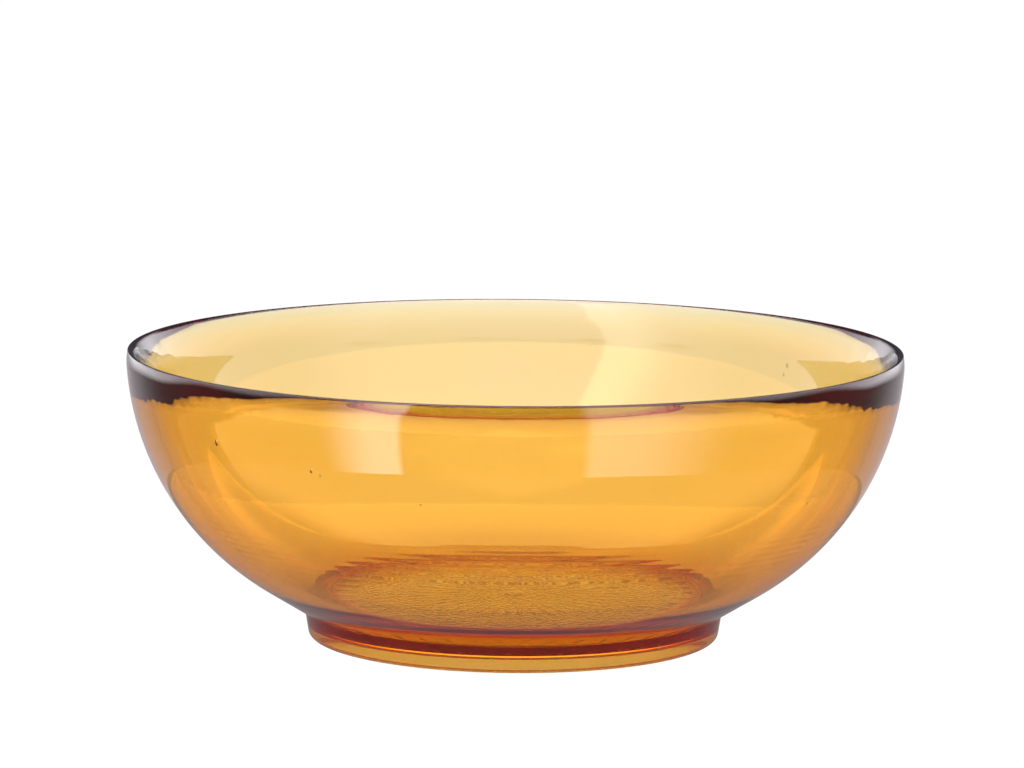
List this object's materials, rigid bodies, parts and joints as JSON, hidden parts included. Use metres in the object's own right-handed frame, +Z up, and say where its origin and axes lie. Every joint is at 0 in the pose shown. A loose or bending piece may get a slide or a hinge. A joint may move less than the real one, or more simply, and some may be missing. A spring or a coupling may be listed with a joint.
{
  "type": "glass bowl",
  "caption": "Round amber glass bowl with a curved side, fire-polished lip, flat thick floor and a low tapered foot ring with a stippled underside.",
  "frame": {"origin": "centre of the foot's bearing face, on the surface that the bowl stands on", "axes": "+Z up along the bowl's axis of revolution; X and Y are interchangeable"},
  "size_m": [0.23, 0.23, 0.086],
  "materials": {
    "amber_glass": "polished",
    "amber_glass_base": "stippled"
  },
  "bodies": {
    "root": {"rim_lip": "amber_glass", "side_wall": "amber_glass", "floor_disc": "amber_glass_base", "foot_ring": "amber_glass", "stipple_dots": "amber_glass_base"}
  },
  "joints": []
}
